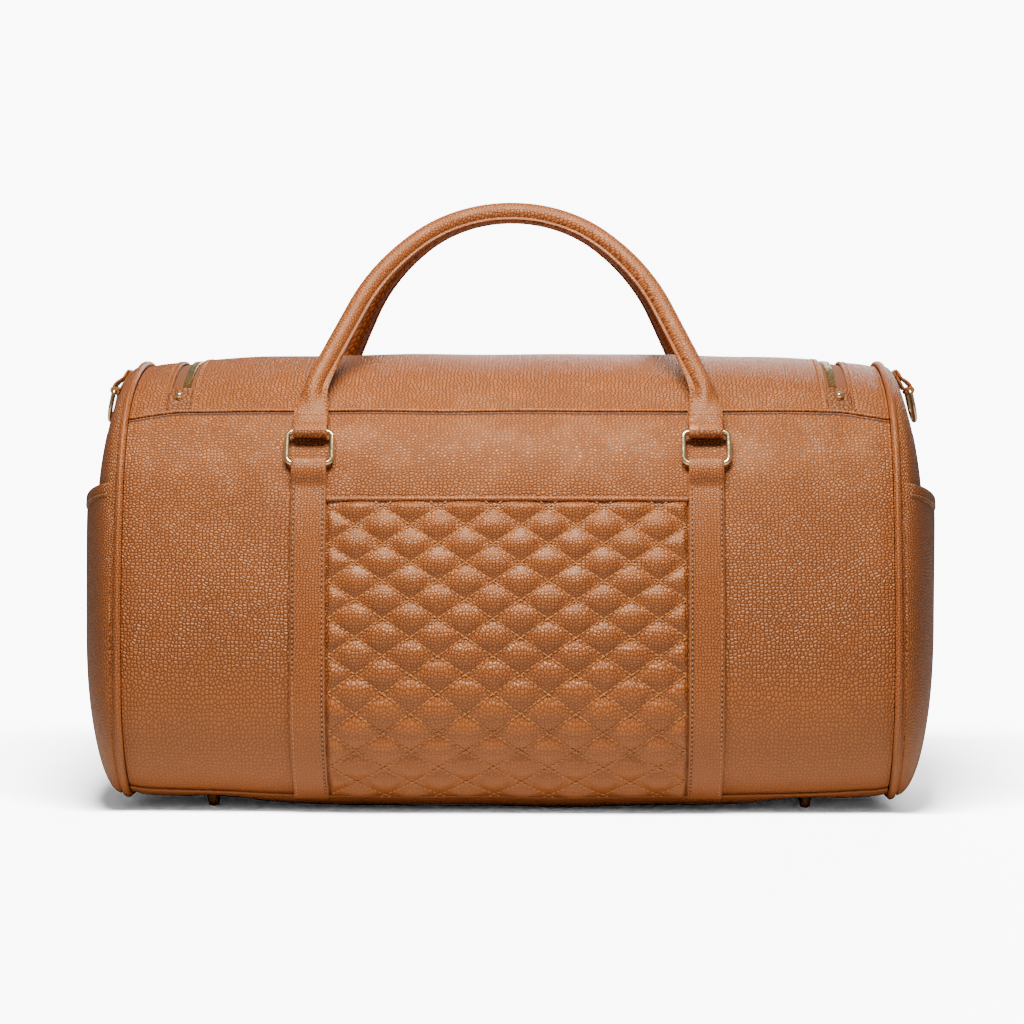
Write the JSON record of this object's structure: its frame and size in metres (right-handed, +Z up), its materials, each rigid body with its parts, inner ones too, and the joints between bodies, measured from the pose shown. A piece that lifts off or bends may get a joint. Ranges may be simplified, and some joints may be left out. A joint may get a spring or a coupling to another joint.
{
  "type": "weekender bag",
  "caption": "Soft leather weekender bag with a zipped lid, two rolled handles on rings, a quilted slip pocket, end pockets and shoulder-strap rings.",
  "frame": {"origin": "on the floor below the middle of the bag", "axes": "+X right along the bag's length, +Y towards its back, +Z up"},
  "size_m": [0.5176, 0.2556, 0.3666],
  "materials": {
    "leather_panels": "pebbled caramel leather, soft satin sheen",
    "quilted_leather": "pebbled caramel leather quilted in diamonds with golden thread",
    "leather_trim": "fine-grained caramel leather with painted edges",
    "hardware": "polished pale gold",
    "zip_teeth": "polished pale gold",
    "zip_tape": "woven brown zip tape",
    "lining_cloth": "plain woven lining",
    "padding": "soft padding",
    "rope_core": "cotton rope",
    "base_board": "stiff plastic board",
    "washer_steel": "plain"
  },
  "bodies": {
    "bag": {"front_panel": "leather_panels", "back_panel": "leather_panels", "bottom_panel": "leather_panels", "lining": "lining_cloth", "base_board": "base_board", "end_panel_left": "leather_panels", "end_pocket_left": "leather_panels", "end_pocket_hem_left": "leather_trim", "end_panel_right": "leather_panels", "end_pocket_right": "leather_panels", "end_pocket_hem_right": "leather_trim", "end_piping_left": "leather_trim", "end_piping_right": "leather_trim", "top_surround": "leather_panels", "zip_tape_body": "zip_tape", "zip_teeth_body": "zip_teeth", "zip_stop_tab_left": "leather_trim", "zip_stop_tab_right": "leather_trim", "zip_tab_studs": "hardware", "front_strap_left": "leather_trim", "front_strap_right": "leather_trim", "back_strap_left": "leather_trim", "back_strap_right": "leather_trim", "quilted_pocket_padding": "padding", "quilted_pocket": "quilted_leather", "quilted_pocket_hem": "leather_trim", "d_ring_loop_left": "leather_trim", "d_ring_loop_right": "leather_trim", "d_ring_rivets": "hardware", "feet": "hardware", "foot_washers": "washer_steel"},
    "lid": {"lid_panel": "leather_panels", "lid_lining": "lining_cloth", "zip_tape_lid": "zip_tape", "zip_teeth_lid": "zip_teeth"},
    "front_ring_left": {"front_ring_left": "hardware"},
    "front_ring_right": {"front_ring_right": "hardware"},
    "back_ring_left": {"back_ring_left": "hardware"},
    "back_ring_right": {"back_ring_right": "hardware"},
    "front_handle": {"front_handle_cover": "leather_trim", "front_handle_core": "rope_core"},
    "back_handle": {"back_handle_cover": "leather_trim", "back_handle_core": "rope_core"},
    "d_ring_left": {"d_ring_left": "hardware"},
    "d_ring_right": {"d_ring_right": "hardware"},
    "zip_slider_left": {"zip_slider_left": "hardware"},
    "zip_slider_right": {"zip_slider_right": "hardware"},
    "zip_pull_left": {"zip_pull_left": "hardware"},
    "zip_pull_right": {"zip_pull_right": "hardware"}
  },
  "joints": [
    {"name": "lid_open", "type": "hinge", "parent": "bag", "child": "lid", "pos_m": [0, -0.08601, 0.23746], "axis": [1, 0, 0], "range_deg": [0, 100]},
    {"name": "front_ring_left_swing", "type": "hinge", "parent": "bag", "child": "front_ring_left", "pos_m": [-0.1165, -0.11081, 0.20766], "axis": [1, 0, 0], "range_deg": [0, 130]},
    {"name": "front_ring_right_swing", "type": "hinge", "parent": "bag", "child": "front_ring_right", "pos_m": [0.1165, -0.11081, 0.20766], "axis": [1, 0, 0], "range_deg": [0, 130]},
    {"name": "front_handle_swing", "type": "hinge", "parent": "front_ring_left", "child": "front_handle", "pos_m": [-0.1165, -0.1034, 0.22581], "axis": [-1, 0, 0], "range_deg": [-155, 0]},
    {"name": "back_ring_left_swing", "type": "hinge", "parent": "bag", "child": "back_ring_left", "pos_m": [-0.1165, 0.11081, 0.20766], "axis": [-1, 0, 0], "range_deg": [0, 130]},
    {"name": "back_ring_right_swing", "type": "hinge", "parent": "bag", "child": "back_ring_right", "pos_m": [0.1165, 0.11081, 0.20766], "axis": [-1, 0, 0], "range_deg": [0, 130]},
    {"name": "back_handle_swing", "type": "hinge", "parent": "back_ring_left", "child": "back_handle", "pos_m": [-0.1165, 0.1034, 0.22581], "axis": [1, 0, 0], "range_deg": [-155, 0]},
    {"name": "d_ring_left_swing", "type": "hinge", "parent": "bag", "child": "d_ring_left", "pos_m": [-0.2475, 0, 0.2505], "axis": [0, 1, 0], "range_deg": [0, 110]},
    {"name": "zip_slider_left_slide", "type": "slide", "parent": "lid", "child": "zip_slider_left", "axis": [-1, 0, 0], "range_m": [0, 0.152]},
    {"name": "zip_pull_left_flip", "type": "hinge", "parent": "zip_slider_left", "child": "zip_pull_left", "pos_m": [-0.007, 0.06371, 0.25835], "axis": [0, 0.8868, -0.4621], "range_deg": [0, 155]},
    {"name": "d_ring_right_swing", "type": "hinge", "parent": "bag", "child": "d_ring_right", "pos_m": [0.2475, 0, 0.2505], "axis": [0, -1, 0], "range_deg": [0, 110]},
    {"name": "zip_slider_right_slide", "type": "slide", "parent": "lid", "child": "zip_slider_right", "axis": [1, 0, 0], "range_m": [0, 0.152]},
    {"name": "zip_pull_right_flip", "type": "hinge", "parent": "zip_slider_right", "child": "zip_pull_right", "pos_m": [0.007, 0.06371, 0.25835], "axis": [0, -0.8868, 0.4621], "range_deg": [0, 155]}
  ],
  "couplings": [
    {"joint": "front_ring_left_swing", "follows": "lid_open", "ratio": 1.3},
    {"joint": "front_ring_right_swing", "follows": "lid_open", "ratio": 1.3},
    {"joint": "back_ring_left_swing", "follows": "lid_open", "ratio": 1.3},
    {"joint": "back_ring_right_swing", "follows": "lid_open", "ratio": 1.3}
  ]
}
